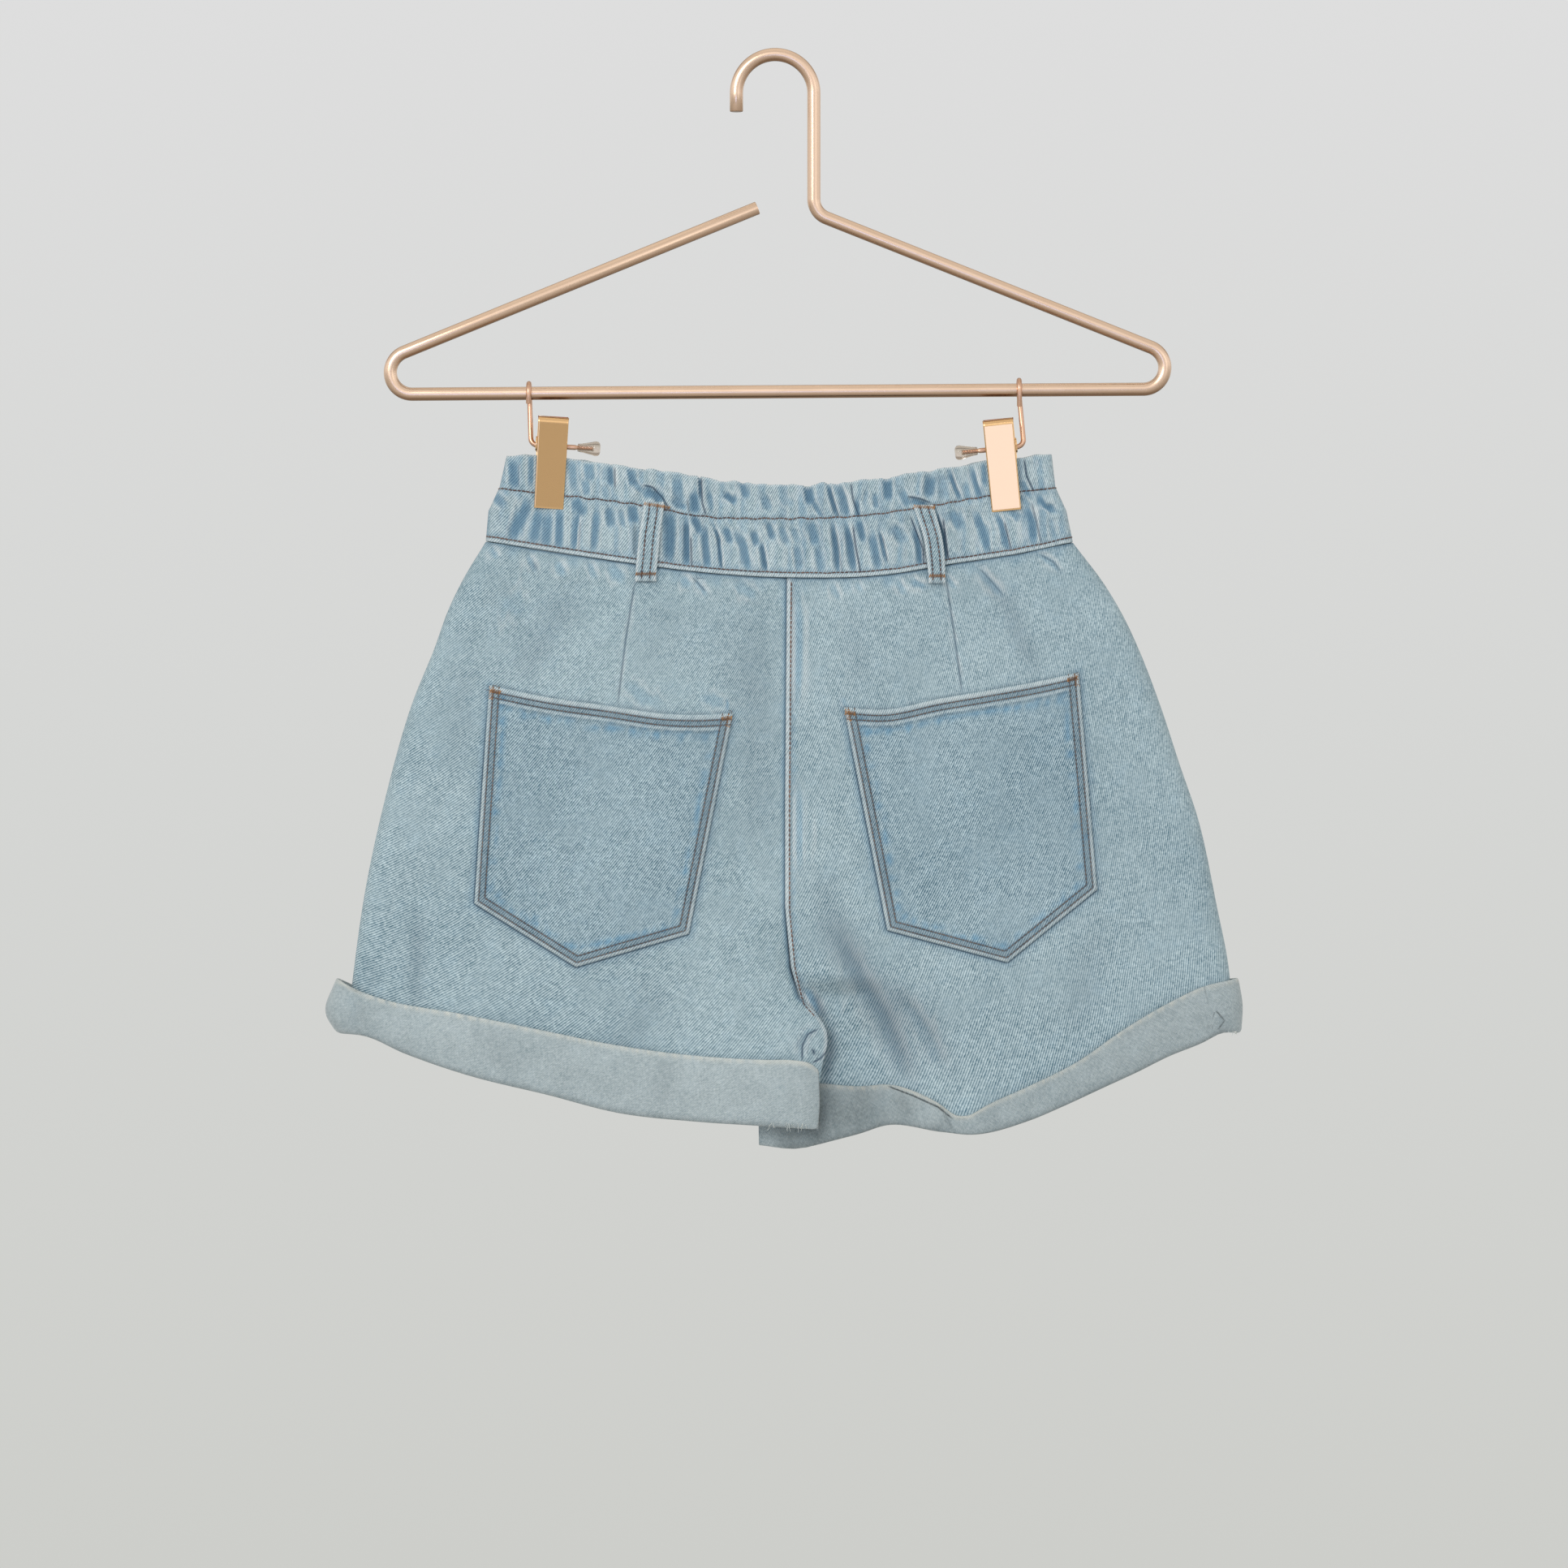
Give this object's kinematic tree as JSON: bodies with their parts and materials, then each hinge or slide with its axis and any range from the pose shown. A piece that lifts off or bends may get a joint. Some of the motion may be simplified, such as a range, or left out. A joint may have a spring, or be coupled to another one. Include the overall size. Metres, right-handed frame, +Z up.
{
  "type": "denim shorts on a clip hanger",
  "caption": "Pale denim shorts with a gathered elastic waist and turned-up cuffs, seen from the back, hung by clips from a bent rose-gold wire hanger.",
  "frame": {"origin": "top of the hook's inside, in the middle of the wire, where the nail or rod that holds the hanger carries it", "axes": "+Z up; +Y towards the wall, so the shorts' back faces -Y and their front faces +Y; +X to the right of someone who looks at the shorts' back"},
  "size_m": [0.497, 0.03, 0.5972],
  "materials": {
    "denim": "washed pale blue denim, right side, matt",
    "pocket_denim": "washed pale blue denim, slightly darker, matt",
    "denim_wrong_side": "wrong side of the denim, pale grey-blue, slightly fuzzy",
    "hanger_metal": "satin rose-gold plating on steel",
    "clip_metal": "smooth rose-gold plating on steel",
    "clear_rubber": "clear soft plastic"
  },
  "bodies": {
    "root": {"back_panel_left": "denim", "back_panel_right": "denim", "front_panel_left": "denim", "front_panel_right": "denim", "waistband_back": "denim", "waistband_front": "denim", "pocket_left": "pocket_denim", "pocket_right": "pocket_denim", "belt_loop_back_left": "denim", "belt_loop_back_right": "denim", "belt_loop_front_left": "denim", "belt_loop_front_right": "denim", "cuff_left_back": "denim_wrong_side", "cuff_left_front": "denim_wrong_side", "cuff_right_back": "denim_wrong_side", "cuff_right_front": "denim_wrong_side", "hanger_wire": "hanger_metal", "clip_left_front_plate": "clip_metal", "clip_left_back_plate": "clip_metal", "clip_left_spring": "clip_metal", "clip_left_wire": "clip_metal", "clip_left_tip": "clear_rubber", "clip_right_front_plate": "clip_metal", "clip_right_back_plate": "clip_metal", "clip_right_spring": "clip_metal", "clip_right_wire": "clip_metal", "clip_right_tip": "clear_rubber"}
  },
  "joints": []
}
